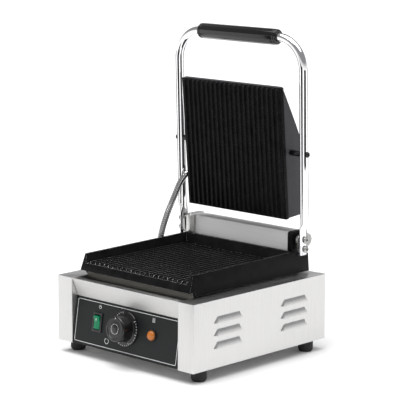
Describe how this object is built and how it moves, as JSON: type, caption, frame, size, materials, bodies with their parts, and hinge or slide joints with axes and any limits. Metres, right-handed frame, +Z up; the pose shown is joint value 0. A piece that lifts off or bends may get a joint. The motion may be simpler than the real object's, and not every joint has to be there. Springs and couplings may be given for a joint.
{
  "type": "panini press",
  "caption": "Contact grill: ribbed cast lower plate on a stainless housing, and a ribbed upper plate tipping in a hinged U-shaped handle arm.",
  "frame": {"origin": "on the floor, at the middle of the bounding box's base (under the middle of the housing)", "axes": "+X the user's right, +Y from the control panel to the hinge, +Z up"},
  "size_m": [0.3066, 0.347, 0.5165],
  "materials": {
    "stainless": "brushed",
    "chrome": "polished",
    "zinc_steel": "zinc plated",
    "black_steel": "black oxide",
    "black_cast_iron": "black, slightly rough",
    "dark_grey_enamel": "satin",
    "overlay_black": "satin printed film",
    "knob_black": "satin",
    "grip_black": "gloss",
    "switch_black": "satin",
    "rocker_green": "translucent, gloss",
    "lens_orange": "translucent, gloss",
    "foot_rubber": "matt",
    "element_sheath": "heat-darkened",
    "mineral_wool": "fibrous",
    "ceramic": "unglazed",
    "copper": "drawn"
  },
  "bodies": {
    "base": {"bottom_plate": "stainless", "left_side_panel": "stainless", "right_side_panel": "stainless", "rear_panel": "stainless", "deck": "stainless", "front_panel": "stainless", "control_overlay": "overlay_black", "rocker_switch_housing": "switch_black", "thermostat_body": "ceramic", "thermostat_bulb": "copper", "thermostat_capillary": "copper", "indicator_lamp_body": "switch_black", "indicator_lens": "lens_orange", "foot_front_left": "foot_rubber", "foot_front_right": "foot_rubber", "foot_rear_left": "foot_rubber", "foot_rear_right": "foot_rubber", "foot_screw_front_left": "zinc_steel", "foot_screw_front_right": "zinc_steel", "foot_screw_rear_left": "zinc_steel", "foot_screw_rear_right": "zinc_steel", "lower_grill_plate": "black_cast_iron", "lower_heating_element": "element_sheath", "lower_element_clamp": "zinc_steel", "clamp_screw": "zinc_steel", "hinge_block_left": "stainless", "hinge_block_right": "black_cast_iron", "thrust_washer_left": "zinc_steel", "thrust_washer_right": "zinc_steel", "torsion_spring_left": "zinc_steel", "torsion_spring_right": "zinc_steel", "spring_box_cover": "stainless", "conduit": "zinc_steel", "conduit_fitting_lower": "zinc_steel", "cable_gland": "switch_black", "gland_lock_nut": "switch_black", "terminal_block": "ceramic"},
    "grease_tray": {"grease_tray": "stainless"},
    "knob": {"thermostat_knob": "knob_black", "thermostat_spindle": "zinc_steel"},
    "rocker": {"rocker_button": "rocker_green"},
    "arm": {"handle_tube": "chrome", "handle_grip": "grip_black", "arm_lug_left": "zinc_steel", "arm_lug_right": "zinc_steel", "arm_bolt_lower_left": "zinc_steel", "arm_bolt_upper_left": "zinc_steel", "arm_bolt_lower_right": "zinc_steel", "arm_bolt_upper_right": "zinc_steel", "hinge_shaft": "zinc_steel"},
    "upper_plate": {"upper_grill_plate": "black_cast_iron", "upper_cover": "dark_grey_enamel", "upper_heating_element": "element_sheath", "upper_element_clamp": "zinc_steel", "upper_insulation": "mineral_wool", "pivot_bolt_left": "black_steel", "pivot_bolt_right": "black_steel", "pivot_sleeve_left": "black_steel", "pivot_sleeve_right": "black_steel", "conduit_elbow": "switch_black"}
  },
  "joints": [
    {"name": "arm_hinge", "type": "hinge", "parent": "base", "child": "arm", "pos_m": [0, 0.134, 0.1801], "axis": [1, 0, 0], "range_deg": [0, 85], "deforming": ["conduit", "torsion_spring_left", "torsion_spring_right"]},
    {"name": "upper_plate_tilt", "type": "hinge", "parent": "arm", "child": "upper_plate", "pos_m": [0, 0.11268, 0.32146], "axis": [-1, 0, 0], "range_deg": [-12, 0], "deforming": ["conduit"]},
    {"name": "thermostat_turn", "type": "hinge", "parent": "base", "child": "knob", "pos_m": [-0.001, -0.14806, 0.06093], "axis": [0, 0.9884, -0.1516], "range_deg": [0, 290]},
    {"name": "rocker_tip", "type": "hinge", "parent": "base", "child": "rocker", "pos_m": [-0.064, -0.14764, 0.06035], "axis": [1, 0, 0], "range_deg": [-16, 0]},
    {"name": "tray_slide", "type": "slide", "parent": "base", "child": "grease_tray", "axis": [0, -1, 0], "range_m": [0, 0.034]}
  ]
}
